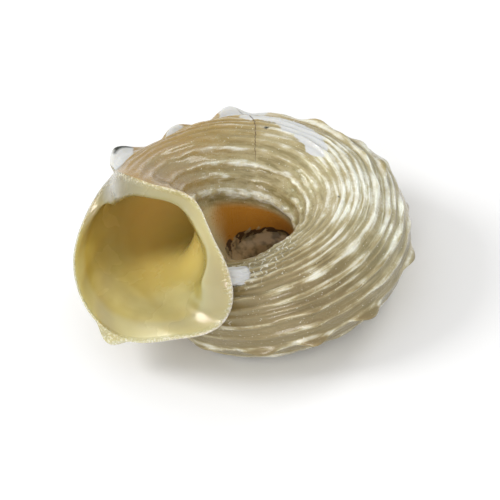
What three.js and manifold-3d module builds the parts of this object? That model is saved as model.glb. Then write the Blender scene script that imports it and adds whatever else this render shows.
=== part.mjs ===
import * as THREE from "three";
import { mergeVertices } from "three/addons/utils/BufferGeometryUtils.js";
import Module from "manifold-3d";

// Sea snail shell lying on its spire with its wide navel and round mouth up.
// Sizes are millimetres. Angles are degrees until they are used.
// A turn angle counts round the coil axis, 0 at the mouth and negative further back.
// A side angle counts round the tube: 0 outward, 90 to the base, 180 to the navel, 270 to the spire.

// The tube's path back from the mouth, a quarter turn at a time, and a little past it.
const lastTurn = {
  turn: [-360, -270, -180, -90, 0, 50],
  radius: [13.4, 13.5, 14.6, 17.3, 22.2, 27.6],
  height: [10.7, 12.7, 12.1, 15.5, 23.3, 27.2],
  tube: [6.5, 8.0, 9.3, 10.5, 11.2, 11.6],
};
const growthPerRadian = 0.087;
const oldestTurn = -1650;
const apexBead = 1.5;
const apexHeight = 4.2;

// The section's outline at every 30 degrees: share of the tube's radius, and the lip's reach in mm.
const sectionShape = [0.98, 0.92, 0.97, 1.04, 1.05, 1.08, 1.05, 1.0, 1.01, 1.01, 1.05, 1.03];
const lipReach = [-0.6, -1.2, -1.2, -0.3, 0.9, 2, -0.6, -1.2, 0.2, -0.85, 1.6, 1.4];
const lipSpan = 26;

// Where the tube swells or draws in: the middle's side and growth line, how far each way, and the rise in mm.
const swells = [
  { side: 60, across: 50, line: -26, long: 44, rise: -1.8 },
  { side: 30, across: 45, line: -124, long: 36, rise: 0.8 },
  { side: 200, across: 50, line: -26, long: 52, rise: 1.4 },
];

// Growth lines run this far ahead of the section on one side and as far behind on the other.
const growthLead = 50;
const growthLeadSide = 216;

// The navel's wall runs straight from this turn's inner keel down to the turn before.
const navelKeel = 172;
const navelFoot = 223;
const navelBlend = 34;
const navelWallFades = [-52, -6];

// Ridges that run along the tube, each with its height and the growth line and height of its knobs.
const ridges = [
  {
    side: 57,
    height: 0.3,
    long: 12,
    knobs: [[-7.5, 2.8], [-35.5, 1.5], [-59, 1.7], [-79, 0.4], [-100, 1.1], [-114, 0.7], [-130, 0.6],
      [-152, 0.6], [-175, 0.4], [-197, 0.4], [-219, 0.4], [-241, 0.4], [-263, 0.4], [-285, 0.4]],
  },
  { side: 40, height: 0.4, long: 10, knobs: [[-117, 0.6], [-135, 1], [-160, 0.3], [-190, 0.3], [-225, 0.3]] },
  { side: 20, height: 0.35, long: 10, knobs: [[-127, 0.6], [-154, 0.5], [-180, 0.3], [-210, 0.3]] },
  { side: 1, height: 0.3, long: 7, knobs: [] },
  {
    side: -18,
    height: 0.3,
    long: 11,
    knobs: [[-37, 0.9], [-75, 0.9], [-112, 0.9], [-155, 1.2], [-188, 1.2], [-224, 2.1], [-249, 1.9],
      [-273, 1.4], [-300, 1.2], [-330, 1.2]],
  },
  { side: -38, height: 0.3, long: 7, knobs: [] },
  {
    side: -58,
    height: 0.6,
    long: 12,
    knobs: [[0, 1.7], [-37.5, 1.7], [-75, 1.7], [-112.5, 1.7], [-150, 1.5], [-187.5, 1], [-225, 0.5],
      [-262.5, 0.4], [-300, 0.4], [-337.5, 0.4]],
  },
  { side: -80, height: 0.3, long: 7, knobs: [] },
  { side: -98, height: 0.3, long: 7, knobs: [] },
  { side: 76, height: 0.3, long: 7, knobs: [] },
  { side: 89, height: 0.3, long: 7, knobs: [] },
  { side: 103, height: 0.25, long: 7, knobs: [] },
  { side: 118, height: 0.25, long: 7, knobs: [] },
  { side: 132, height: 0.3, long: 7, knobs: [] },
  { side: 146, height: 0.3, long: 7, knobs: [] },
  {
    side: 161,
    height: 0.6,
    long: 9,
    knobs: [[-22, 0.3], [-41, 0.4], [-57, 0.3], [-76, 0.4], [-93, 0.3], [-113, 0.4], [-131, 0.3], [-150, 0.4],
      [-170, 0.3], [-190, 0.3], [-212, 0.3], [-233, 0.3]],
  },
];
const ridgeHalfWidth = 8;
const ridgeScaleTube = 10.5;
const widestFacetAngle = 13;

// Steps between growth lines, finest on the last turn.
const growthSteps = [
  { from: 0, to: -360, step: 7.5 },
  { from: -360, to: -720, step: 15 },
  { from: -720, to: oldestTurn, step: 30 },
];
const segmentSpan = 180;

// The mouth and the hollow behind it.
const hollowBack = -260;
const hollowPast = 6;
const hollowStep = 11;
const hollowSides = 30;
const hollowShare = 0.84;
const hollowFunnel = 40;
const lipWall = [2, 3.8, 4.1, 4.8, 3.6, 2.7, 1.9, 3.5, 1.3, 0.7, 0.9, 0.6];
const hollowSwells = [
  { side: 60, across: 50, line: -26, long: 44, rise: -1.2 },
  { side: 197, across: 55, line: -28, long: 62, rise: 2.4 },
];

// A lump of callus that ties the lip to the turn below it, beside the navel.
const callusLip = { line: -9, side: 206 };
const callusBase = { line: -277, side: 92 };
const callusThick = 1.9;
const callusSunk = 0.6;

// How the shell lies: turned about its coil axis, then leaned back and to the left a little.
const turnedBy = 20.7;
const leanBack = 0.3;
const leanLeft = -2.7;
const wornFlat = 0.45;
const finestEdge = 0.03;

// Worn knobs whose tips touch the ground, in mm from the middle of the box.
const feet = [[-11.3, -8.0], [17.6, -1.4], [3.9, 20.3]];
const footHeight = 0.08;
const footRoot = 0.6;
const footWidth = 1.5;
const footSides = 6;

const colour = 0xb9ab83;

const turnRadians = 2 * Math.PI;
const radians = THREE.MathUtils.degToRad;

function smooth(start, end, value) {
  const share = Math.min(Math.max((value - start) / (end - start), 0), 1);
  return share * share * (3 - 2 * share);
}

function hermite(share, span, from, to, fromSlope, toSlope) {
  const s2 = share * share;
  const s3 = s2 * share;
  return (2 * s3 - 3 * s2 + 1) * from + (s3 - 2 * s2 + share) * span * fromSlope
    + (3 * s2 - 2 * s3) * to + (s3 - s2) * span * toSlope;
}

function slopeAt(xs, ys, index, firstSlope) {
  const last = xs.length - 1;
  if (index === 0) return firstSlope;
  if (index === last) return (ys[last] - ys[last - 1]) / (xs[last] - xs[last - 1]);
  const before = (ys[index] - ys[index - 1]) / (xs[index] - xs[index - 1]);
  const after = (ys[index + 1] - ys[index]) / (xs[index + 1] - xs[index]);
  const wide = xs[index + 1] - xs[index - 1];
  return (before * (xs[index + 1] - xs[index]) + after * (xs[index] - xs[index - 1])) / wide;
}

// A size along the tube: a smooth curve on the last turn, steady growth before it.
function along(name, turn) {
  const xs = lastTurn.turn;
  const ys = lastTurn[name];
  const growth = growthPerRadian * Math.PI / 180;
  const start = name === "height" ? apexHeight : 0;
  if (turn <= xs[0]) return start + (ys[0] - start) * Math.exp(growth * (turn - xs[0]));
  const top = xs.length - 2;
  let index = 0;
  while (index < top && turn > xs[index + 1]) index += 1;
  const span = xs[index + 1] - xs[index];
  const firstSlope = growth * (ys[0] - start);
  const fromSlope = slopeAt(xs, ys, index, firstSlope);
  const toSlope = slopeAt(xs, ys, index + 1, firstSlope);
  return hermite((turn - xs[index]) / span, span, ys[index], ys[index + 1], fromSlope, toSlope);
}

// A value given at even steps round the section, smoothly between them.
function around(list, side) {
  const step = 360 / list.length;
  const place = ((side % 360) + 360) % 360 / step;
  const index = Math.floor(place);
  const at = (offset) => list[(index + offset + list.length) % list.length];
  const fromSlope = (at(1) - at(-1)) / 2;
  const toSlope = (at(2) - at(0)) / 2;
  return hermite(place - index, 1, at(0), at(1), fromSlope, toSlope);
}

function growthOffset(side) {
  return growthLead * Math.cos(radians(side - growthLeadSide));
}

function bump(distance, halfWidth) {
  if (Math.abs(distance) >= halfWidth) return 0;
  return Math.cos(distance / halfWidth * Math.PI / 2) ** 2;
}

// How far one side angle is from another, the short way round.
function between(side, other) {
  return side - other - Math.round((side - other) / 360) * 360;
}

function ridgeHeight(line, side) {
  let height = 0;
  for (const ridge of ridges) {
    const share = bump(between(side, ridge.side), ridgeHalfWidth);
    height += share * ridge.height;
    for (const [at, rise] of ridge.knobs) height += share * rise * bump(line - at, ridge.long);
  }
  return height;
}

function swellHere(list, line, side) {
  let rise = 0;
  for (const swell of list) {
    const over = bump(between(side, swell.side), swell.across);
    rise += swell.rise * over * bump(line - swell.line, swell.long);
  }
  return rise;
}

function sectionPoint(turn, side, radius) {
  const angle = radians(side);
  return {
    out: along("radius", turn) + radius * Math.cos(angle),
    up: along("height", turn) + radius * Math.sin(angle),
  };
}

function keelPoint(turn) {
  const radius = along("tube", turn) * around(sectionShape, navelKeel);
  return sectionPoint(turn, navelKeel, radius);
}

function place(point, turn) {
  const angle = Math.PI + radians(turn);
  return new THREE.Vector3(point.out * Math.cos(angle), point.out * Math.sin(angle), point.up);
}

// A point of the outer surface on one growth line.
function outerPoint(line, side) {
  const turn = line + growthOffset(side);
  const tube = along("tube", turn);
  const flare = around(lipReach, side) * smooth(-lipSpan, 0, line) + swellHere(swells, line, side);
  const relief = ridgeHeight(line, side) * tube / ridgeScaleTube;
  const point = sectionPoint(turn, side, tube * around(sectionShape, side) + flare + relief);
  if (side <= navelKeel || side >= navelFoot + navelBlend) return place(point, turn);
  const share = Math.min((side - navelKeel) / (navelFoot - navelKeel), 1);
  const keel = keelPoint(turn);
  const older = keelPoint(turn - 360);
  const weight = (1 - smooth(navelFoot, navelFoot + navelBlend, side))
    * (1 - smooth(navelWallFades[0], navelWallFades[1], line));
  const wallOut = THREE.MathUtils.lerp(keel.out, older.out, share);
  const wallUp = THREE.MathUtils.lerp(keel.up, older.up, share);
  const blended = {
    out: THREE.MathUtils.lerp(point.out, wallOut, weight),
    up: THREE.MathUtils.lerp(point.up, wallUp, weight),
  };
  return place(blended, turn);
}

// A point of the hollow: the lip's inner edge at the mouth, a round bore further in.
// It lags behind its growth line by its share of the section, as a flat cut across the tube does.
function hollowPoint(line, side) {
  const tube = along("tube", line + growthOffset(side));
  const lip = tube * around(sectionShape, side) + around(lipReach, side);
  const mouth = lip - around(lipWall, side);
  const radius = THREE.MathUtils.lerp(tube * hollowShare, mouth, smooth(-hollowFunnel, 0, line))
    + swellHere(hollowSwells, line, side);
  const turn = line + growthOffset(side) * radius / lip;
  return place(sectionPoint(turn, side, radius), turn);
}

// Sides where the section gets a corner: each ridge's crest and the valleys between them.
function sectionSides() {
  const crests = ridges.map((ridge) => (ridge.side + 360) % 360).sort((a, b) => a - b);
  const sides = [];
  crests.forEach((crest, index) => {
    const next = index + 1 < crests.length ? crests[index + 1] : crests[0] + 360;
    const gap = next - crest;
    const parts = Math.max(2, Math.ceil(gap / widestFacetAngle));
    for (let part = 0; part < parts; part += 1) sides.push((crest + gap * part / parts) % 360);
  });
  return sides.sort((a, b) => a - b);
}

// A closed tube through rings of points, with a fan over each end.
function tubeSolid(wasm, rings) {
  const count = rings[0].length;
  const points = rings.flat();
  const triangles = [];
  for (let ring = 0; ring + 1 < rings.length; ring += 1) {
    for (let side = 0; side < count; side += 1) {
      const next = (side + 1) % count;
      const a = ring * count + side;
      const b = ring * count + next;
      const c = a + count;
      const d = b + count;
      triangles.push(a, d, c, a, b, d);
    }
  }
  const ends = [[0, rings[0], false], [(rings.length - 1) * count, rings[rings.length - 1], true]];
  for (const [start, ring, last] of ends) {
    const middle = points.length;
    const centre = new THREE.Vector3();
    ring.forEach((point) => centre.addScaledVector(point, 1 / count));
    points.push(centre);
    for (let side = 0; side < count; side += 1) {
      const a = start + side;
      const b = start + (side + 1) % count;
      triangles.push(...(last ? [middle, a, b] : [middle, b, a]));
    }
  }
  return solidFrom(wasm, points.flatMap((point) => point.toArray()), triangles);
}

function solidFrom(wasm, coordinates, triangles) {
  return new wasm.Manifold(new wasm.Mesh({
    numProp: 3,
    vertProperties: new Float32Array(coordinates),
    triVerts: new Uint32Array(triangles),
  }));
}

function solidOf(wasm, geometry) {
  geometry.deleteAttribute("normal");
  geometry.deleteAttribute("uv");
  const merged = mergeVertices(geometry, 1e-4);
  return solidFrom(wasm, Array.from(merged.attributes.position.array), Array.from(merged.index.array));
}

function growthLines() {
  const lines = [0];
  for (const stretch of growthSteps) {
    for (let line = stretch.from - stretch.step; line >= stretch.to; line -= stretch.step) lines.push(line);
  }
  return lines;
}

function outerSolids(wasm) {
  const sides = sectionSides();
  const lines = growthLines();
  const solids = [];
  let rings = [];
  let start = lines[0];
  for (const line of lines) {
    const ring = sides.map((side) => outerPoint(line, side));
    rings.push(ring);
    const full = start - line >= segmentSpan || line === lines[lines.length - 1];
    if (full && rings.length > 1) {
      solids.push(tubeSolid(wasm, rings));
      rings = [ring];
      start = line;
    }
  }
  return solids;
}

function apexSolid(wasm) {
  const bead = new THREE.SphereGeometry(apexBead, 12, 8);
  bead.translate(0, 0, along("height", oldestTurn));
  return solidOf(wasm, bead);
}

function callusSolid(wasm) {
  const lip = outerPoint(callusLip.line, callusLip.side);
  const base = outerPoint(callusBase.line, callusBase.side);
  const reach = base.clone().sub(lip);
  const lump = new THREE.IcosahedronGeometry(callusThick, 2);
  lump.scale(reach.length() / 2 / callusThick, 1, 1);
  const heading = reach.clone().normalize();
  lump.applyQuaternion(new THREE.Quaternion().setFromUnitVectors(new THREE.Vector3(1, 0, 0), heading));
  const middle = lip.clone().addScaledVector(reach, 0.5);
  lump.translate(middle.x, middle.y, middle.z - callusSunk);
  return solidOf(wasm, lump);
}

function hollowSolids(wasm) {
  const sides = Array.from({ length: hollowSides }, (_, index) => index * 360 / hollowSides);
  const solids = [];
  let rings = [];
  for (let line = hollowPast; line > hollowBack - hollowStep; line -= hollowStep) {
    const ring = sides.map((side) => hollowPoint(line, side));
    rings.push(ring);
    if (rings.length * hollowStep > segmentSpan) {
      solids.push(tubeSolid(wasm, rings));
      rings = [ring];
    }
  }
  if (rings.length > 1) solids.push(tubeSolid(wasm, rings));
  return solids;
}

// The largest body alone, which fills the gaps closed in between the turns.
function oneBody(solid) {
  const bodies = solid.decompose();
  bodies.sort((a, b) => b.volume() - a.volume());
  return bodies[0].simplify(finestEdge);
}

// A knob's tip: a low point on the ground, widening up into the worn flat above it.
function footSolid(wasm, [x, y]) {
  const ring = Array.from({ length: footSides }, (_, index) => {
    const angle = index * turnRadians / footSides;
    return [x + footWidth * Math.cos(angle), y + footWidth * Math.sin(angle), footRoot];
  });
  return wasm.Manifold.hull([[x, y, 0], ...ring]);
}

// The shell as it lies, worn flat below and standing on its feet, with the middle of its box over the origin.
function lieDown(wasm, solid) {
  const lean = new THREE.Euler(radians(leanBack), radians(leanLeft), radians(turnedBy), "YXZ");
  const pose = new THREE.Matrix4().makeRotationFromEuler(lean);
  const turned = solid.transform(pose.elements);
  const low = turned.boundingBox().min[2];
  const worn = turned.trimByPlane([0, 0, 1], low + wornFlat);
  const box = worn.boundingBox();
  const lying = worn.translate([
    -(box.min[0] + box.max[0]) / 2,
    -(box.min[1] + box.max[1]) / 2,
    footHeight - box.min[2],
  ]);
  return wasm.Manifold.union([lying, ...feet.map((foot) => footSolid(wasm, foot))]);
}

function meshFrom(solid) {
  const mesh = solid.getMesh();
  const geometry = new THREE.BufferGeometry();
  geometry.setAttribute("position", new THREE.BufferAttribute(new Float32Array(mesh.vertProperties), 3));
  geometry.setIndex(new THREE.BufferAttribute(new Uint32Array(mesh.triVerts), 1));
  const flat = geometry.toNonIndexed();
  flat.computeVertexNormals();
  return new THREE.Mesh(flat, new THREE.MeshStandardMaterial({
    color: colour,
    roughness: 0.35,
    metalness: 0,
  }));
}

const wasm = await Module();
wasm.setup();
const outer = wasm.Manifold.union([...outerSolids(wasm), apexSolid(wasm), callusSolid(wasm)]);
const hollow = wasm.Manifold.union(hollowSolids(wasm));
const shell = meshFrom(lieDown(wasm, oneBody(oneBody(outer).subtract(hollow))));
shell.name = "shell";

const part = new THREE.Group();
part.name = "sea_snail_shell";
part.add(shell);

export default part;
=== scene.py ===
import math
from functools import partial

import bmesh
import bpy
import numpy as np
from mathutils import Matrix, Vector, noise


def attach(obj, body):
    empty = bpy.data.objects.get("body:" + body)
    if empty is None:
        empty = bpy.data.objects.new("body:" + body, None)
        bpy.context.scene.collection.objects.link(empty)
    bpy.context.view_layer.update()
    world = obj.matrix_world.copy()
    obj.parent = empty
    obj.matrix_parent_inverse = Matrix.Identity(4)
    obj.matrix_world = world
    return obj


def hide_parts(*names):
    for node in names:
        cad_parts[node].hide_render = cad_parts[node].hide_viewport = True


# Sea snail shell, polished down to mother-of-pearl, lying on its spire with navel and mouth up.
# A turn angle counts round the coil axis: 0 at the mouth, negative further back. A side angle counts round
# the tube: 0 outward, 90 to the base, 180 to the navel, 270 to the spire. A growth line runs round the tube
# on a slant. Sizes in the dictionaries are millimetres and degrees unless a note says otherwise.

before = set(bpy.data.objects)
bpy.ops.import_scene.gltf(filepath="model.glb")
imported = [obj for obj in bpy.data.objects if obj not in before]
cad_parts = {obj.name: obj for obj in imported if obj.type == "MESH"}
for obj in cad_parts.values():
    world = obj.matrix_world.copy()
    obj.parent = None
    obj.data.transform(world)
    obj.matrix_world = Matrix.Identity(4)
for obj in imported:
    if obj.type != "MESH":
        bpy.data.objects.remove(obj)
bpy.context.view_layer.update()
metresPerMm = 0.001
wholly = 0.999  # stored shares above this count as one
fillRounds = 6  # how far values spread to points that a cut has made

# The tube's path and section, the same values as the solid's own source
coil = {
    "turn": [-360, -270, -180, -90, 0, 50],
    "radius": [13.4, 13.5, 14.6, 17.3, 22.2, 27.6],
    "height": [10.7, 12.7, 12.1, 15.5, 23.3, 27.2],
    "tube": [6.5, 8.0, 9.3, 10.5, 11.2, 11.6],
    "growthPerRadian": 0.087,
    "oldestTurn": -1650,
    "apexBead": 1.5,
    "apexHeight": 4.2,
    "section": [0.98, 0.92, 0.97, 1.04, 1.05, 1.08, 1.05, 1.0, 1.01, 1.01, 1.05, 1.03],
    "lipReach": [-0.6, -1.2, -1.2, -0.3, 0.9, 2, -0.6, -1.2, 0.2, -0.85, 1.6, 1.4],
    "lipSpan": 26,
    # rings that close the newest end, as shares of the lip, and the degrees that it bulges past the lip
    "endShares": [0.15, 0.35, 0.55, 0.75, 0.9, 0.97],
    "endLead": 12,
    "growthLead": 50,
    "growthLeadSide": 216,
    "firstSide": -110,  # the mesh starts and ends here, on the underside
    # where the tube swells or draws in: side, across, line, long, rise
    "swells": [
        (60, 50, -26, 44, -1.8),
        (30, 45, -124, 36, 0.8),
        (200, 50, -26, 52, 1.4),
    ],
    "reliefTube": 10.5,  # tube radius that the relief's heights are given for
    "sharpFrom": 60,  # edges this sharp stay sharp
    # stretches of growth lines: from, to, step, sides round the tube
    "stretches": [
        (0, -180, 1.5, 225),
        (-180, -360, 1.5, 225),
        (-357, -540, 5, 120),
        (-535, -720, 5, 120),
        (-715, -900, 12, 72),
        (-890, -1080, 15, 60),
        (-1065, -1260, 15, 48),
        (-1245, -1440, 15, 40),
        (-1425, -1650, 15, 40),
    ],
}

# The navel's wall, from this turn's inner keel down to the turn before
navelWall = {
    "keel": 172,
    "foot": 223,
    "blend": 34,
    "fadeFrom": -52,
    "fadeTo": -6,
    "reliefKept": 0.25,  # share of the relief that is left on the wall
    "reliefFade": 0.3,
}

# The mouth and the hollow behind it
hollow = {
    # growth lines of the rings: from, to, step
    "mouthLines": (18, -24, -1.5),
    "throatLines": (-24, -260, -5),
    "cutAfter": 24,  # the first cutter ends after this many rings of the throat
    "overlap": 2,
    "sides": 120,
    "share": 0.84,
    "funnel": 40,
    "collar": 9,  # the lip rounds over into the throat across this much growth
    "edge": 0.35,
    "swells": [
        (60, 50, -26, 44, -1.2),
        (197, 55, -28, 62, 2.4),
    ],
    "wall": [2, 3.8, 4.1, 4.8, 3.6, 2.7, 1.9, 3.5, 1.3, 0.7, 0.9, 0.6],
}

callus = {
    "lip": (-9, 206),
    "base": (-277, 92),
    "thick": 2.2,
    "long": 1.5,
    "wide": 0.75,
    "tall": 0.55,
    "sunk": 0.7,
    "ragged": 0.24,  # share of its size that its surface wanders
    "lumps": 1.1,
    "fineFade": 0.8,  # how fast the finer lumps grow weaker
    "octaves": 4,
    "growthLine": -9.0,
    "sideAngle": 230.0,
}

# How the shell lies, and where the middle of its box ends up
lying = {
    "turned": 20.7,
    "leanBack": 0.3,
    "leanLeft": -2.7,
    "shift": (4.540963, -2.802575, -3.535161),
    "wornFlat": 0.08,  # height of the worn flat under the shell
}


def smoothStep(start, end, value):
    share = np.clip((value - start) / (end - start), 0, 1)
    return share * share * (3 - 2 * share)


def hermite(share, span, fromY, toY, fromSlope, toSlope):
    s2 = share * share
    s3 = s2 * share
    near = (2 * s3 - 3 * s2 + 1) * fromY + (s3 - 2 * s2 + share) * span * fromSlope
    return near + (3 * s2 - 2 * s3) * toY + (s3 - s2) * span * toSlope


# A size along the tube: a smooth curve on the last turn, steady growth before it
def alongTube(name, turn):
    turn = np.asarray(turn, float)
    xs = np.array(coil["turn"], float)
    ys = np.array(coil[name], float)
    growth = coil["growthPerRadian"] * math.pi / 180
    start = coil["apexHeight"] if name == "height" else 0
    secants = np.diff(ys) / np.diff(xs)
    spans = np.diff(xs)
    slopes = np.empty(len(xs))
    slopes[0] = growth * (ys[0] - start)
    slopes[-1] = secants[-1]
    slopes[1:-1] = (secants[:-1] * spans[1:] + secants[1:] * spans[:-1]) / (spans[1:] + spans[:-1])
    index = np.clip(np.searchsorted(xs, turn, side="left") - 1, 0, len(xs) - 2)
    share = (turn - xs[index]) / spans[index]
    last = hermite(share, spans[index], ys[index], ys[index + 1], slopes[index], slopes[index + 1])
    older = start + (ys[0] - start) * np.exp(growth * (np.minimum(turn, xs[0]) - xs[0]))
    return np.where(turn <= xs[0], older, last)


# A value given at even steps round the section, smoothly between them
def aroundTube(values, side):
    values = np.asarray(values, float)
    place = np.mod(side, 360) / (360 / len(values))
    index = np.floor(place).astype(int)
    before, here, after, beyond = (values[(index + k) % len(values)] for k in (-1, 0, 1, 2))
    return hermite(place - index, 1, here, after, (after - before) / 2, (beyond - here) / 2)


# How far the tube swells past its section there, or draws in
def swellHere(swells, line, side):
    total = 0.0
    for middle, across, lineMiddle, long, rise in swells:
        away = np.mod(side - middle + 180, 360) - 180
        over = np.cos(np.clip(np.abs(away) / across, 0, 1) * math.pi / 2) ** 2
        ahead = np.cos(np.clip(np.abs(line - lineMiddle) / long, 0, 1) * math.pi / 2) ** 2
        total = total + rise * over * ahead
    return total


def growthOffset(side):
    return coil["growthLead"] * np.cos(np.radians(side - coil["growthLeadSide"]))


def sectionPoint(turn, side, radius):
    angle = np.radians(side)
    out = alongTube("radius", turn) + radius * np.cos(angle)
    up = alongTube("height", turn) + radius * np.sin(angle)
    return out, up


def keelPoint(turn):
    radius = alongTube("tube", turn) * aroundTube(coil["section"], navelWall["keel"])
    return sectionPoint(turn, navelWall["keel"], radius)


def placeRound(out, up, turn):
    angle = math.pi + np.radians(turn)
    return np.stack([out * np.cos(angle), out * np.sin(angle), up], axis=-1)


# Points of the outer surface without its relief, which way is outward, and how far relief counts there
def outerSurface(line, side):
    turn = line + growthOffset(side)
    tube = alongTube("tube", turn)
    flare = aroundTube(coil["lipReach"], side) * smoothStep(-coil["lipSpan"], 0, line)
    flare = flare + swellHere(coil["swells"], line, side)
    out, up = sectionPoint(turn, side, tube * aroundTube(coil["section"], side) + flare)
    keel, foot, blend = navelWall["keel"], navelWall["foot"], navelWall["blend"]
    share = np.clip((side - keel) / (foot - keel), 0, 1)
    weight = (1 - smoothStep(foot, foot + blend, side)) * (side > keel)
    weight = weight * (1 - smoothStep(navelWall["fadeFrom"], navelWall["fadeTo"], line))
    keelOut, keelUp = keelPoint(turn)
    olderOut, olderUp = keelPoint(turn - 360)
    out = out + weight * (keelOut + (olderOut - keelOut) * share - out)
    up = up + weight * (keelUp + (olderUp - keelUp) * share - up)
    angle = np.radians(side)
    outward = placeRound(np.cos(angle), np.sin(angle), turn)
    onWall = smoothStep(0, navelWall["reliefFade"], weight)
    reliefScale = tube / coil["reliefTube"] * (1 - (1 - navelWall["reliefKept"]) * onWall)
    return placeRound(out, up, turn), outward, reliefScale


# Points of the hollow: the lip's inner edge at the mouth, a round bore further in
def hollowSurface(line, side):
    tube = alongTube("tube", line + growthOffset(side))
    lip = tube * aroundTube(coil["section"], side) + aroundTube(coil["lipReach"], side)
    rounded = np.sin(np.clip(-line / hollow["collar"], 0, 1) * math.pi / 2)
    wall = hollow["edge"] + (aroundTube(hollow["wall"], side) - hollow["edge"]) * rounded
    mouth = lip - np.maximum(wall, hollow["edge"])
    radius = tube * hollow["share"]
    radius = radius + (mouth - radius) * smoothStep(-hollow["funnel"], 0, line)
    radius = radius + swellHere(hollow["swells"], line, side)
    turn = line + growthOffset(side) * radius / lip
    angle = np.radians(side)
    out, up = sectionPoint(turn, side, radius)
    inward = placeRound(-np.cos(angle), -np.sin(angle), turn)
    return placeRound(out, up, turn), inward, tube / coil["reliefTube"]


# Ever smaller rings that close the newest end, each a little further on than the lip
def endRings(side):
    offset = growthOffset(side)
    lip = alongTube("tube", offset) * aroundTube(coil["section"], side) + aroundTube(coil["lipReach"], side)
    lip = lip + swellHere(coil["swells"], 0.0, side)
    rings = []
    for share in coil["endShares"]:
        turn = offset * share + coil["endLead"] * (1 - share)
        out, up = sectionPoint(turn, side, lip * share)
        rings.append(placeRound(out, up, turn))
    return np.stack(rings)


# Stores a named value on each of the mesh's points: a number or a direction
def storeValues(mesh, name, values):
    kind, key = ("FLOAT_VECTOR", "vector") if values.ndim == 2 else ("FLOAT", "value")
    store = mesh.attributes.new(name, kind, "POINT")
    store.data.foreach_set(key, values.astype(np.float32).ravel())


def newObject(name, data):
    made = bpy.data.objects.new(name, data)
    bpy.context.scene.collection.objects.link(made)
    return made


# A closed tube through rings of points, with a fan over each end and named values on its points
def tubeObject(name, points, values, inside=0.0):
    rings, count = points.shape[:2]
    ring, side = np.meshgrid(np.arange(rings - 1), np.arange(count), indexing="ij")
    a = ring * count + side
    b = ring * count + (side + 1) % count
    quads = np.stack([a, b, b + count, a + count], axis=-1).reshape(-1, 4)
    flat = points.reshape(-1, 3)
    centres = np.stack([points[0].mean(axis=0), points[-1].mean(axis=0)])
    vertices = np.concatenate([flat, centres])
    first = [(len(flat), (k + 1) % count, k) for k in range(count)]
    lastRing = (rings - 1) * count
    last = [(len(flat) + 1, lastRing + k, lastRing + (k + 1) % count) for k in range(count)]
    mesh = bpy.data.meshes.new(name)
    mesh.from_pydata(vertices.tolist(), [], quads.tolist() + first + last)
    for key, value in values.items():
        rows = value.reshape(len(flat), *value.shape[2:])
        storeValues(mesh, key, np.concatenate([rows, rows[:1], rows[-1:]]))
    for key, value in (("made", 1.0), ("inside", inside), ("callus", 0.0)):
        storeValues(mesh, key, np.full(len(vertices), value))
    mesh.update()
    return newObject(name, mesh)


def outerTube(name, start, stop, step, count):
    lines = np.append(np.arange(start, stop, -step), stop).astype(float)
    sides = coil["firstSide"] + np.arange(count) * 360 / count
    line, side = np.meshgrid(lines, sides, indexing="ij")
    points, outward, scale = outerSurface(line, side)
    values = {"growthLine": line, "sideAngle": side, "outward": outward, "reliefScale": scale}
    if start == 0:
        end = endRings(sides)
        points = np.concatenate([end, points])
        for key, rows in values.items():
            values[key] = np.concatenate([np.repeat(rows[:1], len(end), axis=0), rows])
        values["reliefScale"][:len(end)] = 0
    return tubeObject(name, points, values)


def hollowTube(name, lines):
    sides = coil["firstSide"] + np.arange(hollow["sides"]) * 360 / hollow["sides"]
    line, side = np.meshgrid(np.array(lines, float), sides, indexing="ij")
    points, inward, scale = hollowSurface(line, side)
    values = {"growthLine": line, "sideAngle": side, "outward": inward, "reliefScale": scale}
    return tubeObject(name, points, values, inside=1.0)


# Adds a node with its settings and links, and gives its first output
def addNode(tree, kind, inputs=None, **settings):
    node = tree.nodes.new(kind)
    for name, value in settings.items():
        setattr(node, name, value)
    for key, value in inputs.items() if isinstance(inputs, dict) else enumerate(inputs or []):
        if isinstance(key, int):
            socket = node.inputs[key]
        else:
            socket = next(s for s in node.inputs if s.name == key and s.enabled)
        if isinstance(value, bpy.types.NodeSocket):
            tree.links.new(value, socket)
        else:
            socket.default_value = value
    return next((s for s in node.outputs if s.enabled), node)


mathNode = "ShaderNodeMath"
rangeNode = "ShaderNodeMapRange"
noiseNode = "ShaderNodeTexNoise"


# 1 within reach of the middle, falling softly to 0 past it
def bandMask(add, value, middle, reach, soft):
    offset = add(mathNode, [value, middle], operation="SUBTRACT")
    away = add(mathNode, [offset], operation="ABSOLUTE")
    fall = {"Value": away, "From Min": float(reach + soft), "From Max": float(reach)}
    return add(rangeNode, fall, interpolation_type="SMOOTHSTEP")


# A value that rises smoothly from low at the start to high at the end
def ramp(add, value, start, end, low=0.0, high=1.0):
    sockets = {"Value": value, "From Min": float(start), "From Max": float(end)}
    sockets |= {"To Min": low, "To Max": high}
    return add(rangeNode, sockets, interpolation_type="SMOOTHSTEP")


# Noise laid along the tube, from -0.5 to 0.5, by its waves in each degree of growth line and of side
def tubeNoise(add, line, side, perLine, perSide, shift, detail=2.0):
    alongLine = add(mathNode, [line, perLine], operation="MULTIPLY")
    alongSide = add(mathNode, [side, perSide], operation="MULTIPLY")
    where = add("ShaderNodeCombineXYZ", [alongLine, alongSide, shift])
    waves = add(noiseNode, {"Vector": where, "Scale": 1.0, "Detail": detail}, noise_dimensions="3D")
    return add(mathNode, [waves, 0.5], operation="SUBTRACT")


# An old break across the last turn, long healed
oldBreak = {
    "slant": 0.77,  # growth lines that it crosses in each degree of side
    "ahead": 19.0,
    "wobble": 4.0,
    "wobblePerSide": 0.16,
    "shift": 3.0,
    "ledge": (-1.0, 0.6),  # the shell steps down across these growth lines
    "ledgeEnds": (26.0, 2.0),  # and comes back up over these
    "ledgeSides": (112, 32, 12),  # middle, reach and softness
    "line": (-0.2, 0.12, 0.5),
    "lineSides": (94, 30, 8),
}


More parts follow.
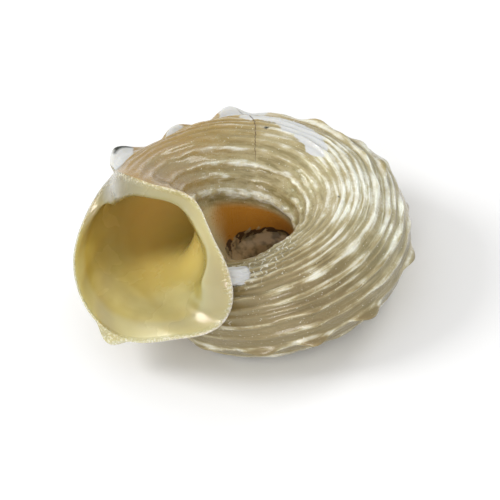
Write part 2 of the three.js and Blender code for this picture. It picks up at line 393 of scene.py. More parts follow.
# How far past the old break a point lies, in degrees of growth
def crackLine(add, line, side):
    wobble = tubeNoise(add, 0.0, side, 0.0, oldBreak["wobblePerSide"], oldBreak["shift"])
    offset = add(mathNode, [side, oldBreak["slant"], line], operation="MULTIPLY_ADD")
    offset = add(mathNode, [offset, oldBreak["ahead"]], operation="ADD")
    return add(mathNode, [wobble, oldBreak["wobble"], offset], operation="MULTIPLY_ADD")


# Relief that follows the tube: cords, knobs, growth lines and an uneven surface
relief = {
    "cordHeight": 1.0,  # shares of the heights below
    "knobHeight": 1.0,
    "growthHeight": 0.08,
    "unevenHeight": 0.2,
    "wander": 2.2,
    "wrinkleHeight": 0.3,
    "oldLumps": 2.4,
    "crackStep": 0.16,
    "seed": 7,
    "newerLines": (-380, -330),  # cords come in over these growth lines: the older turns are worn smooth
    "lipFade": (-1, -11),  # and they fade out again beside the lip
    "sideDrift": 4.0,  # how far wander shifts the cords, in degrees of side
    "lineDrift": 3.0,
    "comeAndGo": 2.4,  # how strongly the cords come and go
    "wrinkleLines": (-262, 22, 20),  # middle, reach and softness
    "wrinkleSides": (128, 26, 18),
    # noise patterns: waves in each degree of growth line and of side, shift, detail
    "patterns": {
        "wander": (0.035, 0.04, 3.1, 2.0),
        "strength": (0.06, 0.11, 9.4, 2.0),
        "knobs": (0.05, 0.02, 17.0, 2.0),
        "growth": (0.55, 0.02, 23.0, 3.0),
        "uneven": (0.09, 0.07, 31.0, 3.0),
        "lumps": (0.13, 0.09, 57.0, 4.0),
        "wrinkles": (0.5, 0.4, 41.0, 2.0),
    },
    # side, height, half width, half length of the knobs, and the growth line and height of each knob
    "cords": [
        (57, 0.3, 6.5, 11, [
            (-6, 0.6), (-35.5, 1.5), (-59, 1.7), (-79, 0.4), (-100, 1.1), (-114, 0.7), (-130, 0.6),
            (-152, 0.6), (-175, 0.4), (-197, 0.5), (-219, 0.4), (-241, 0.5), (-263, 0.4), (-285, 0.4),
        ]),
        (58, 0.0, 14, 15, [(-8, 2.5)]),
        (42, 0.45, 6, 8, [
            (-117, 0.6), (-135, 1.0), (-150, 0.4), (-163, 0.5), (-180, 0.4), (-196, 0.5), (-214, 0.4),
            (-231, 0.5),
        ]),
        (31, 0.3, 4, 7, [(-170, 0.3), (-205, 0.3)]),
        (19, 0.45, 6, 8, [(-127, 0.6), (-154, 0.5), (-172, 0.4), (-190, 0.5), (-207, 0.4), (-228, 0.5)]),
        (2, 0.35, 5.5, 7, [(-165, 0.4), (-201, 0.4), (-236, 0.5)]),
        (-18, 0.3, 7.5, 10, [
            (-37, 0.9), (-75, 0.9), (-112, 0.9), (-155, 1.2), (-188, 1.3), (-224, 2.1), (-249, 1.9),
            (-273, 1.4), (-300, 1.2), (-330, 1.2),
        ]),
        (-38, 0.3, 6, 7, []),
        (-58, 0.6, 8, 11, [
            (0, 1.7), (-37.5, 1.7), (-75, 1.7), (-112.5, 1.7), (-150, 1.5), (-187.5, 1.0), (-225, 0.5),
            (-262.5, 0.4), (-300, 0.4), (-337.5, 0.4),
        ]),
        (-80, 0.3, 7, 7, []),
        (-98, 0.3, 7, 7, []),
        (66, 0.22, 3, 7, []),
        (71.5, 0.28, 3, 7, []),
        (78, 0.4, 3.6, 7, []),
        (85, 0.3, 3.2, 7, []),
        (92, 0.4, 3.8, 7, []),
        (99, 0.2, 3, 7, []),
        (107, 0.26, 4, 7, []),
        (118, 0.3, 4.5, 7, []),
        (132, 0.42, 4.5, 7, []),
        (145, 0.26, 5, 7, []),
        (160, 0.42, 8, 11, [
            (-22, 0.2), (-41, 0.35), (-62, 0.15), (-79, 0.4), (-101, 0.2), (-122, 0.4), (-149, 0.3),
            (-171, 0.15), (-192, 0.3), (-219, 0.25),
        ]),
        (177, 0.12, 5, 7, []),
    ],
}


def reliefTree():
    tree = bpy.data.node_groups.new("shellRelief", "GeometryNodeTree")
    add = partial(addNode, tree)
    tree.interface.new_socket("Geometry", in_out="INPUT", socket_type="NodeSocketGeometry")
    sizes = {
        "Cord height": relief["cordHeight"],
        "Knob height": relief["knobHeight"],
        "Growth line height": relief["growthHeight"],
        "Unevenness": relief["unevenHeight"],
        "Cord wander": relief["wander"],
        "Wrinkle height": relief["wrinkleHeight"],
        "Old lumps": relief["oldLumps"],
        "Crack step": relief["crackStep"],
        "Seed": float(relief["seed"]),
    }
    for name, value in sizes.items():
        socket = tree.interface.new_socket(name, in_out="INPUT", socket_type="NodeSocketFloat")
        socket.default_value = value
    tree.interface.new_socket("Material", in_out="INPUT", socket_type="NodeSocketMaterial")
    tree.interface.new_socket("Geometry", in_out="OUTPUT", socket_type="NodeSocketGeometry")
    given = tree.nodes.new("NodeGroupInput").outputs
    stored = {}
    for name in ("growthLine", "sideAngle", "reliefScale", "inside", "outward"):
        kind = "FLOAT_VECTOR" if name == "outward" else "FLOAT"
        stored[name] = add("GeometryNodeInputNamedAttribute", {"Name": name}, data_type=kind)
    line, side = stored["growthLine"], stored["sideAngle"]

    def pattern(name):
        perLine, perSide, ahead, detail = relief["patterns"][name]
        shift = add(mathNode, [given["Seed"], ahead], operation="ADD")
        return tubeNoise(add, line, side, perLine, perSide, shift, detail)

    # Cords wander a little and come and go, and swell into knobs
    wander = add(mathNode, [pattern("wander"), given["Cord wander"]], operation="MULTIPLY")
    cordSide = add(mathNode, [wander, relief["sideDrift"], side], operation="MULTIPLY_ADD")
    knobLine = add(mathNode, [pattern("knobs"), relief["lineDrift"], line], operation="MULTIPLY_ADD")
    strength = add(mathNode, [pattern("strength"), relief["comeAndGo"], 1.0], operation="MULTIPLY_ADD")
    strength = add(mathNode, [strength, ramp(add, line, *relief["lipFade"])], operation="MULTIPLY")
    cords = 0.0
    for cordAt, height, halfWidth, long, knobs in relief["cords"]:
        offset = add(mathNode, [cordSide, cordAt], operation="SUBTRACT")
        offset = add(mathNode, [offset, 180.0, -180.0], operation="WRAP")
        share = bandMask(add, offset, 0, 0, halfWidth)
        rise = add(mathNode, [given["Cord height"], height], operation="MULTIPLY")
        rise = add(mathNode, [rise, strength], operation="MULTIPLY")
        for knobAt, knob in knobs:
            lump = add(mathNode, [bandMask(add, knobLine, knobAt, 0, long), knob], operation="MULTIPLY")
            rise = add(mathNode, [lump, given["Knob height"], rise], operation="MULTIPLY_ADD")
        cords = add(mathNode, [share, rise, cords], operation="MULTIPLY_ADD")
    newer = ramp(add, line, *relief["newerLines"])
    older = add(mathNode, [1.0, newer], operation="SUBTRACT")
    outer = add(mathNode, [1.0, stored["inside"]], operation="SUBTRACT")
    for part in (newer, outer):
        cords = add(mathNode, [cords, part], operation="MULTIPLY")

    # Growth lines and an uneven skin everywhere, lumps on the older turns
    growth = pattern("growth")
    height = add(mathNode, [growth, given["Growth line height"], cords], operation="MULTIPLY_ADD")
    height = add(mathNode, [pattern("uneven"), given["Unevenness"], height], operation="MULTIPLY_ADD")
    lumps = add(mathNode, [pattern("lumps"), given["Old lumps"]], operation="MULTIPLY")
    height = add(mathNode, [lumps, older, height], operation="MULTIPLY_ADD")

    # Crackled skin beside the navel, on the near side of the ring
    wrinkles = pattern("wrinkles")
    wrinkled = [bandMask(add, line, *relief["wrinkleLines"]), bandMask(add, side, *relief["wrinkleSides"])]
    for part in [outer] + wrinkled:
        wrinkles = add(mathNode, [wrinkles, part], operation="MULTIPLY")
    height = add(mathNode, [wrinkles, given["Wrinkle height"], height], operation="MULTIPLY_ADD")

    # The newer side of the old break starts a little lower
    past = crackLine(add, line, side)
    ledge = ramp(add, past, *oldBreak["ledge"])
    broken = [ramp(add, past, *oldBreak["ledgeEnds"]), bandMask(add, side, *oldBreak["ledgeSides"])]
    for part in broken + [given["Crack step"], outer]:
        ledge = add(mathNode, [ledge, part], operation="MULTIPLY")
    height = add(mathNode, [height, ledge], operation="SUBTRACT")

    height = add(mathNode, [height, stored["reliefScale"]], operation="MULTIPLY")
    push = add("ShaderNodeVectorMath", {"Vector": stored["outward"], "Scale": height}, operation="SCALE")
    moved = add("GeometryNodeSetPosition", {"Geometry": given["Geometry"], "Offset": push})
    marked = add(
        "GeometryNodeStoreNamedAttribute", {"Geometry": moved, "Name": "crest", "Value": cords},
        data_type="FLOAT", domain="POINT",
    )
    solid = add("GeometryNodeRealizeInstances", {"Geometry": marked})
    dressed = add("GeometryNodeSetMaterial", {"Geometry": solid, "Material": given["Material"]})
    add("NodeGroupOutput", {"Geometry": dressed})
    return tree


# The evaluated object as a plain mesh, with no modifier left on it
def bakeModifiers(thing):
    bpy.context.view_layer.update()
    evaluated = thing.evaluated_get(bpy.context.evaluated_depsgraph_get())
    mesh = bpy.data.meshes.new_from_object(evaluated)
    mesh.name = thing.name
    thing.modifiers.clear()
    old = thing.data
    thing.data = mesh
    bpy.data.meshes.remove(old)


def addRelief(thing, tree, material):
    modifier = thing.modifiers.new("relief", "NODES")
    modifier.node_group = tree
    for item in tree.interface.items_tree:
        if item.in_out == "INPUT" and item.name == "Material":
            modifier[item.identifier] = material
    bakeModifiers(thing)


def joinSolids(first, others, operation):
    for other in others:
        modifier = first.modifiers.new(operation.lower(), "BOOLEAN")
        modifier.operation = operation
        modifier.solver = "MANIFOLD"
        modifier.object = other
    bakeModifiers(first)
    for other in others:
        bpy.data.objects.remove(other)


def readValues(mesh, name):
    values = np.zeros(len(mesh.vertices), np.float32)
    mesh.attributes[name].data.foreach_get("value", values)
    return values


def readEdges(mesh):
    edges = np.zeros(len(mesh.edges) * 2, np.int32)
    mesh.edges.foreach_get("vertices", edges)
    return edges.reshape(-1, 2)


# Leaves only the island with the most points, which fills the gaps closed in between the turns
def keepLargest(thing):
    mesh = thing.data
    edges = readEdges(mesh)
    label = np.arange(len(mesh.vertices))
    while True:
        low = np.minimum(label[edges[:, 0]], label[edges[:, 1]])
        new = label.copy()
        np.minimum.at(new, edges[:, 0], low)
        np.minimum.at(new, edges[:, 1], low)
        new = new[new]
        if (new == label).all():
            break
        label = new
    names, sizes = np.unique(label, return_counts=True)
    keep = label == names[sizes.argmax()]
    work = bmesh.new()
    work.from_mesh(mesh)
    work.verts.ensure_lookup_table()
    drop = [work.verts[int(k)] for k in np.flatnonzero(~keep)]
    bmesh.ops.delete(work, geom=drop, context="VERTS")
    work.to_mesh(mesh)
    work.free()


# Points made by a cut have no values yet: each takes those of its newest neighbour
def fillValues(mesh, names):
    edges = readEdges(mesh)
    both = np.concatenate([edges, edges[:, ::-1]])
    made = readValues(mesh, "made") > wholly
    stored = {name: readValues(mesh, name) for name in names}
    for _ in range(fillRounds):
        if made.all():
            break
        rows = both[~made[both[:, 0]] & made[both[:, 1]]]
        order = np.argsort(stored["growthLine"][rows[:, 1]], kind="stable")
        rows = rows[order]
        for values in stored.values():
            values[rows[:, 0]] = values[rows[:, 1]]
        made[rows[:, 0]] = True
    for name, values in stored.items():
        mesh.attributes[name].data.foreach_set("value", values)


# A colour from its sRGB hex value, turned linear
def linearColour(hexValue):
    parts = [((hexValue >> shift) & 255) / 255 for shift in (16, 8, 0)]
    parts = [p / 12.92 if p <= 0.04045 else ((p + 0.055) / 1.055) ** 2.4 for p in parts]
    return (*parts, 1.0)


def newMaterial(name):
    material = bpy.data.materials.new(name)
    material.use_nodes = True
    material.node_tree.nodes.clear()
    return material


# Mother-of-pearl, the shell's inner layer, laid bare by acid and polishing: cloudy cream and olive with a
# deep soft gloss, and painted highlights that make it brighter along the crests
nacreColours = {
    "valley": 0x88794F,
    "body": 0xA99A72,
    # crest: the white of the painted highlights, glints and sparkle
    "crest": 0xE6E4D6,
    "golden": 0x9A7628,
    # shadeBrown: painted shade, the dull brown that darkens the low front of the ring; the older turns'
    # darker lumps share it
    "shadeBrown": 0x7A6642,
    "cream": 0xCDBC8E,
    "amber": 0xC4842C,
    # umber: the painted shadow along the navel's seam, and the line of the healed break
    "umber": 0x4A2A12,
    "wornStone": 0xB89C74,
    "chalk": 0xC9C9C8,
    # pitShade: painted shade, near black where small pits and a groove on a knob would lie in shade
    "pitShade": 0x1E1810,
}
# where each blend starts and ends, and its two values when they aren't 0 and 1
blends = {
    "raised": (0.0, 0.45, 0.0, 0.5),
    "worn": (0.65, 1.3, 0.0, 0.6),
    "slope": (-0.25, 0.2),
    "patchy": (0.35, 0.6, 0.75, 1.0),
    "paintedHighlight": (0.15, 0.75, 0.0, 0.95),
    "underGold": (0, 1, 1, 0.3),
    "inValleys": (0.35, 0.0, 0.25, 1.0),
    "paintedShade": (0.05, 0.7, 0.0, 0.7),
    "growthLines": (-0.25, 0.1, 0.14, 0.0),
    "amber": (0.1, 0.9),
    "jagged": (0.3, 0.7, 0.55, 1.5),
    "seamShade": (0.4, 0.6),
    "stone": (0.4, 0.65),
    "chalk": (0.38, 0.56),
    "crackGaps": (0.3, 0.55, 0.35, 0.8),
    "plateEdges": (0.1, 0.0),
    "plateGaps": (0.42, 0.6),
    "sparkleSpecks": (0.6, 0.7, 0.0, 0.8),
    "speckGaps": (0.54, 0.64),
    "gloss": (0.0, 0.6, 0.36, 0.2),
    "dulled": (0.3, 0.7, -0.06, 0.1),
}
nacre = {
    "chalkRoughness": 0.8,
    "cloudPerMm": 0.22,
    "grainPerMm": 1.9,
    "grainsPerLump": 3,
    "glitterPerMm": 4.2,
    "cracklePerMm": 0.85,
    # patterns along the tube: waves in each degree of growth line and of side, shift, detail
    "streaks": (0.05, 0.9, 5.0, 3.0),
    "glints": (0.07, 0.28, 12.0, 4.0),
    "growthLines": (0.9, 0.03, 8.0, 3.0),
    # how much each of these takes part in the painted highlight
    "streakShare": 0.45,
    "glintShare": 1.3,
    "highlightPatchShare": 0.35,
    "cloudShare": 1.3,
    "lowShadeShare": -0.25,
    # how much of the clouds and of the grain shows in each ragged edge
    "amberClouds": 0.5,
    "chalkClouds": 1.3,
    "chalkGrain": 0.25,
    # what the fine bumps are made of, as shares of the grain
    "glitterBumps": 0.4,
    "otherBumps": 0.8,
    "bumpStrength": 0.7,
    "bumpHeight": 0.00012,
    "coat": 0.55,
    "coatRoughness": 0.12,
    "subsurface": 0.25,
    "subsurfaceReach": 0.002,
    "filmThickness": 380.0,
    "filmIor": 1.53,
}

# What both kinds of nacre share: layered aragonite under a thin clear skin
aragonite = {
    "ior": 1.6,
    "coatIor": 1.5,
    "scatter": (1.0, 0.82, 0.5),
}


# A stored value on the shell's points
def pointValue(add, name):
    return add("ShaderNodeAttribute", attribute_type="GEOMETRY", attribute_name=name).node.outputs["Fac"]


def mixColour(add, share, first, second):
    return add("ShaderNodeMix", {"Factor": share, "A": first, "B": second}, data_type="RGBA")


# Places in the shell's body, scaled so that a pattern repeats this often in a real millimetre
def bodyPlace(add, perMm):
    where = add("ShaderNodeTexCoord").node.outputs["Object"]
    return add("ShaderNodeVectorMath", {"Vector": where, "Scale": perMm / metresPerMm}, operation="SCALE")


# Noise in real size through the shell's body, from 0 to 1
def bodyNoise(add, perMm, detail):
    where = bodyPlace(add, perMm)
    return add(noiseNode, {"Vector": where, "Scale": 1.0, "Detail": float(detail)}, noise_dimensions="3D")


def glossyShell(add, colour, roughness, normal, settings):
    shader = add(
        "ShaderNodeBsdfPrincipled",
        {
            "Base Color": colour,
            "Roughness": roughness,
            "Normal": normal,
            "IOR": aragonite["ior"],
            "Subsurface Weight": settings["subsurface"],
            "Subsurface Radius": aragonite["scatter"],
            "Subsurface Scale": settings["subsurfaceReach"],
            "Coat Weight": settings["coat"],
            "Coat Roughness": settings["coatRoughness"],
            "Coat IOR": aragonite["coatIor"],
            "Thin Film Thickness": settings["filmThickness"],
            "Thin Film IOR": settings["filmIor"],
        },
    )
    add("ShaderNodeOutputMaterial", {"Surface": shader})


# Where highlights are painted: on the crests but less on the tallest knobs, in streaks and glints along the
# cords, over one broad patch and in cloudy patches, less where the painted shade lies
def paintedHighlightShare(add, streaks, glints, drift):
    crest = pointValue(add, "crest")
    raised = ramp(add, crest, *blends["raised"])
    worn = ramp(add, crest, *blends["worn"])
    lit = add(mathNode, [raised, worn], operation="SUBTRACT")
    parts = [
        (streaks, "streakShare"),
        (glints, "glintShare"),
        (pointValue(add, "highlightPatch"), "highlightPatchShare"),
        (drift, "cloudShare"),
        (pointValue(add, "shadeBrown"), "lowShadeShare"),
    ]
    for value, share in parts:
        lit = add(mathNode, [value, nacre[share], lit], operation="MULTIPLY_ADD")
    return lit


# The polished body: olive valleys and cream slopes by the painted highlight, white painted highlights on
# the crests, golden by the lip, painted shade in dull brown low down
def bodyColour(add, colours, lit, cloud, growthLines):
    # Painted shade and light: darker olive in the valleys, cream where the painted highlight rises
    colour = mixColour(add, ramp(add, lit, *blends["slope"]), colours["valley"], colours["body"])
    patchy = ramp(add, cloud, *blends["patchy"])
    golden = add(mathNode, [pointValue(add, "golden"), patchy], operation="MULTIPLY")
    colour = mixColour(add, golden, colour, colours["golden"])
    # Painted highlight: white over the crests, streaks and glints, less on the golden zone
    paintedHighlight = ramp(add, lit, *blends["paintedHighlight"])
    paintedHighlight = add(mathNode, [paintedHighlight, ramp(add, golden, *blends["underGold"])], operation="MULTIPLY")
    colour = mixColour(add, paintedHighlight, colour, colours["crest"])
    # Painted shade: dull brown over the low front of the ring, strongest in the valleys
    inValleys = ramp(add, lit, *blends["inValleys"])
    paintedShade = add(mathNode, [pointValue(add, "shadeBrown"), inValleys], operation="MULTIPLY")
    colour = mixColour(add, ramp(add, paintedShade, *blends["paintedShade"]), colour, colours["shadeBrown"])
    return mixColour(add, ramp(add, growthLines, *blends["growthLines"]), colour, colours["valley"])


# Down in the navel: cream by the mouth, amber further in, a painted shadow in umber along the seam, then
# the older turns' stone
def navelColour(add, colours, colour, drift):
    amber = add(mathNode, [drift, nacre["amberClouds"], pointValue(add, "amber")], operation="MULTIPLY_ADD")
    wall = mixColour(add, ramp(add, amber, *blends["amber"]), colours["cream"], colours["amber"])
    lumps = bodyNoise(add, nacre["grainPerMm"] / nacre["grainsPerLump"], 2)
    # Painted shadow: a jagged umber line where the navel's wall meets the turn before
    jagged = ramp(add, lumps, *blends["jagged"])
    jagged = add(mathNode, [jagged, pointValue(add, "seamShade")], operation="MULTIPLY")
    wall = mixColour(add, ramp(add, jagged, *blends["seamShade"]), wall, colours["umber"])
    colour = mixColour(add, pointValue(add, "navel"), colour, wall)
    # The older turns' stone, its darker lumps in the same brown as the painted shade
    stone = mixColour(add, ramp(add, lumps, *blends["stone"]), colours["wornStone"], colours["shadeBrown"])
    return mixColour(add, pointValue(add, "older"), colour, stone)


# Where the chalky outer layer is left, with a ragged edge
def chalkShare(add, drift, grain):
    chalk = pointValue(add, "chalk")
    ragged = add(mathNode, [drift, nacre["chalkClouds"], chalk], operation="MULTIPLY_ADD")
    fine = add(mathNode, [grain, 0.5], operation="SUBTRACT")
    ragged = add(mathNode, [fine, nacre["chalkGrain"], ragged], operation="MULTIPLY_ADD")
    return ramp(add, ragged, *blends["chalk"])


# The healed break, which shows as a fine dark line
def crackShare(add, line, side, grain):
    crack = bandMask(add, crackLine(add, line, side), *oldBreak["line"])
    crack = add(mathNode, [crack, bandMask(add, side, *oldBreak["lineSides"])], operation="MULTIPLY")
    return add(mathNode, [crack, ramp(add, grain, *blends["crackGaps"])], operation="MULTIPLY")


# Edges of the small plates that the skin beside the navel is crackled into
def crackleShare(add, grain):
    where = bodyPlace(add, nacre["cracklePerMm"])
    edges = add("ShaderNodeTexVoronoi", {"Vector": where, "Scale": 1.0}, feature="DISTANCE_TO_EDGE")
    edges = ramp(add, edges, *blends["plateEdges"])
    edges = add(mathNode, [edges, ramp(add, grain, *blends["plateGaps"])], operation="MULTIPLY")
    return add(mathNode, [edges, pointValue(add, "crackled")], operation="MULTIPLY")


def polishedNacre():
    material = newMaterial("polishedNacre")
    add = partial(addNode, material.node_tree)
    colours = {name: linearColour(value) for name, value in nacreColours.items()}
    line, side = pointValue(add, "growthLine"), pointValue(add, "sideAngle")
    cloud = bodyNoise(add, nacre["cloudPerMm"], 4)
    grain = bodyNoise(add, nacre["grainPerMm"], 3)
    glitter = bodyNoise(add, nacre["glitterPerMm"], 2)
    streaks = tubeNoise(add, line, side, *nacre["streaks"])
    glints = tubeNoise(add, line, side, *nacre["glints"])
    growthLines = tubeNoise(add, line, side, *nacre["growthLines"])
    drift = add(mathNode, [cloud, 0.5], operation="SUBTRACT")

    lit = paintedHighlightShare(add, streaks, glints, drift)
    colour = bodyColour(add, colours, lit, cloud, growthLines)
    # Painted sparkle: tiny white glints scattered over the body
    sparkleSpecks = ramp(add, glitter, *blends["sparkleSpecks"])
    sparkleSpecks = add(mathNode, [sparkleSpecks, ramp(add, grain, *blends["speckGaps"])], operation="MULTIPLY")
    colour = mixColour(add, sparkleSpecks, colour, colours["crest"])
    # The crackled plates' edges are painted in the highlight white, as painted sparkle
    crackle = crackleShare(add, grain)
    colour = mixColour(add, crackle, colour, colours["crest"])
    colour = navelColour(add, colours, colour, drift)
    chalk = chalkShare(add, drift, grain)
    colour = mixColour(add, chalk, colour, colours["chalk"])
    colour = mixColour(add, crackShare(add, line, side, grain), colour, colours["umber"])
    # Painted shade in the small pits and the groove on a knob
    colour = mixColour(add, pointValue(add, "pitShade"), colour, colours["pitShade"])

    dull = add(mathNode, [pointValue(add, "older"), chalk], operation="MAXIMUM")
    gloss = ramp(add, lit, *blends["gloss"])
    roughness = {"Factor": dull, "A": gloss, "B": nacre["chalkRoughness"]}
    roughness = add("ShaderNodeMix", roughness, data_type="FLOAT")
    roughness = add(mathNode, [ramp(add, grain, *blends["dulled"]), roughness], operation="ADD")
    surface = add(mathNode, [glitter, nacre["glitterBumps"], grain], operation="MULTIPLY_ADD")
    for raised in (growthLines, streaks, crackle):
        surface = add(mathNode, [raised, nacre["otherBumps"], surface], operation="MULTIPLY_ADD")
    bump = {"Strength": nacre["bumpStrength"], "Distance": nacre["bumpHeight"], "Height": surface}
    normal = add("ShaderNodeBump", bump)
    glossyShell(add, colour, roughness, normal, nacre)
    return material


# The mouth's lining: smooth unworked nacre in olive gold, paler on the rounded lip, chipped along its edge,
# brightened by painted light deep in the throat and darkened by painted shade over the top of the collar
liningColours = {
    "near": 0x97894A,
    "band": 0xA89B5E,
    # far: painted light, the lining brightened deep in the throat against the darker olive nearer the mouth
    "far": 0xCFB868,
    "collar": 0xA29A72,
    "stain": 0x5E5A50,
    "chip": 0xDAD6C0,
    # collarShade: painted shade, darker olive over the top of the collar
    "collarShade": 0x6A5830,
}
liningBlends = {
    "bands": (0.3, 0.8),
    "collar": (0.15, 0.9),
    "collarShade": (0.05, 0.8, 0.0, 0.85),
    "smear": (0.4, 0.6, 0.4, 0.9),
    "chips": (0.45, 0.65, 0.0, 0.55),
    "gloss": (0.3, 0.7, 0.2, 0.29),
}
lining = {
    "cloudPerMm": 0.12,
    "edgePerMm": 2.6,
    "bands": (0.11, 0.025, 2.0, 2.0),
    "bandShare": 0.7,
    "collarClouds": 0.5,
    "bumpStrength": 0.8,
    "bumpHeight": 0.00032,
    "coat": 0.35,
    "coatRoughness": 0.16,
    "subsurface": 0.7,
    "subsurfaceReach": 0.005,
    "filmThickness": 420.0,
    "filmIor": 1.53,
}


def mouthNacre():
    material = newMaterial("mouthNacre")
    add = partial(addNode, material.node_tree)
    colours = {name: linearColour(value) for name, value in liningColours.items()}
    line, side = pointValue(add, "growthLine"), pointValue(add, "sideAngle")
    cloud = bodyNoise(add, lining["cloudPerMm"], 3)
    grain = bodyNoise(add, lining["edgePerMm"], 3)
    drift = add(mathNode, [cloud, 0.5], operation="SUBTRACT")
    bands = tubeNoise(add, line, side, *lining["bands"])
    share = add(mathNode, [bands, lining["bandShare"], cloud], operation="MULTIPLY_ADD")
    colour = mixColour(add, ramp(add, share, *liningBlends["bands"]), colours["near"], colours["band"])
    # Painted light: brighter deep in the throat
    colour = mixColour(add, pointValue(add, "far"), colour, colours["far"])
    collar = pointValue(add, "collar")
    pale = add(mathNode, [drift, lining["collarClouds"], collar], operation="MULTIPLY_ADD")
    colour = mixColour(add, ramp(add, pale, *liningBlends["collar"]), colour, colours["collar"])
    # Painted shade over the top of the collar
    collarShade = ramp(add, pointValue(add, "collarShade"), *liningBlends["collarShade"])
    colour = mixColour(add, collarShade, colour, colours["collarShade"])
    smear = ramp(add, cloud, *liningBlends["smear"])
    smear = add(mathNode, [smear, pointValue(add, "stain")], operation="MULTIPLY")
    colour = mixColour(add, smear, colour, colours["stain"])
    edge = pointValue(add, "edge")
    chips = add(mathNode, [ramp(add, grain, *liningBlends["chips"]), edge], operation="MULTIPLY")
    colour = mixColour(add, chips, colour, colours["chip"])
    height = add(mathNode, [grain, edge], operation="MULTIPLY")
    bump = {"Strength": lining["bumpStrength"], "Distance": lining["bumpHeight"], "Height": height}
    normal = add("ShaderNodeBump", bump)
    roughness = ramp(add, cloud, *liningBlends["gloss"])
    glossyShell(add, colour, roughness, normal, lining)
    return material


# A mesh built by hand, with the same named values on all its points
def solidFromWork(work, name, line, side, callusShare):
    mesh = bpy.data.meshes.new(name)
    work.to_mesh(mesh)
    work.free()
    values = {
        "growthLine": line,
        "sideAngle": side,
        "made": 1.0,
        "inside": 0.0,
        "crest": 0.0,
        "callus": callusShare,
    }
    for key, value in values.items():
        storeValues(mesh, key, np.full(len(mesh.vertices), value))
    return newObject(name, mesh)


# The lump of callus that ties the lip to the turn below it
def callusObject():
    ends = []
    for line, side in (callus["lip"], callus["base"]):
        points = outerSurface(np.array([float(line)]), np.array([float(side)]))[0]
        ends.append(Vector(points[0]))
    reach = ends[1] - ends[0]
    work = bmesh.new()
    bmesh.ops.create_icosphere(work, subdivisions=5, radius=callus["thick"])
    for vert in work.verts:
        where = vert.co / callus["thick"]
        ragged = noise.fractal(where * callus["lumps"], callus["fineFade"], 2.0, callus["octaves"])
        vert.co *= 1 + callus["ragged"] * ragged
    long = callus["long"] * reach.length / 2 / callus["thick"]
    stretch = Matrix.Diagonal((long, callus["wide"], callus["tall"], 1))
    turn = Vector((1, 0, 0)).rotation_difference(reach).to_matrix().to_4x4()
    middle = ends[0] + reach / 2 - Vector((0, 0, callus["sunk"]))
    bmesh.ops.transform(work, matrix=Matrix.Translation(middle) @ turn @ stretch, verts=work.verts)
    return solidFromWork(work, "callus", callus["growthLine"], callus["sideAngle"], 1.0)


# A round bead that closes the oldest end of the tube
def apexObject():
    work = bmesh.new()
    bmesh.ops.create_uvsphere(work, u_segments=24, v_segments=16, radius=coil["apexBead"])
    lift = Vector((0, 0, float(alongTube("height", coil["oldestTurn"]))))
    bmesh.ops.translate(work, vec=lift, verts=work.verts)
    return solidFromWork(work, "apex", float(coil["oldestTurn"]), 0.0, 0.0)


# Where each colour, painted highlight and painted shade lies, by growth line and side
zones = {
    "chalkPatches": [  # growth line, side, half length, half width, strength
        (-66, 60, 17, 13, 1.0),
        (-82, 74, 17, 12, 1.0),
        (-98, 76, 17, 13, 1.0),
        (-112, 83, 17, 14, 1.1),
        (-126, 91, 15, 12, 1.1),
        (-137, 98, 12, 9, 0.9),
        (-6, 60, 12, 26, 1.5),
        (-34, 62, 11, 12, 0.8),
    ],
    "callusChalk": 1.3,
    # darkSpots: painted shade of small pits and of a groove on a knob
    # growth line, side, half length, half width
    "darkSpots": [(-97, 92, 1.8, 3.0), (-166, 110, 1.1, 1.3), (-186, 96, 1.0, 1.2), (-10, 59, 7, 2.4)],
    "darkEdge": (0.1, 0.4),
    "ovals": {
        # painted shade over the low front of the ring
        "shadeBrown": (-255, 30, 100, 120),
        # painted highlight: a broad patch where the crests are painted brighter
        "highlightPatch": (-170, 84, 90, 48),
        "crackled": (-278, 114, 44, 64),
        "stain": (-5, 66, 7, 14),
        # painted shade over the top of the collar
        "collarShade": (-4, 62, 24, 95),
    },
    "crackledEdge": (0, 0.5),
    # growth lines where each starts to show and where it shows in full
    "lines": {
        "last": (-345, -325),
        "golden": (-120, -45),
        "amber": (-46, -115),
        # painted light deep in the throat
        "far": (-16, -60),
        # painted shadow along the navel's seam
        "seamShade": (-45, -80),
        "collar": (-15, -6),
        "edge": (-1.5, -0.4),
    },
    # sides where each starts to show, shows in full, starts to fade and is gone
    "sides": {
        "golden": (20, 50, 145, 172),
        "navel": (166, 179, 228, 240),
    },
    "seamSides": (206, 219),
    "rimLine": -0.5,  # points newer than this belong to the lip's rim
}


# 1 at the middle of an oval on the growth lines and sides, falling to 0 at its edge
def ovalShare(line, side, middleLine, middleSide, long, wide):
    away = np.hypot((line - middleLine) / long, (side - middleSide) / wide)
    return 1 - smoothStep(0, 1, away)


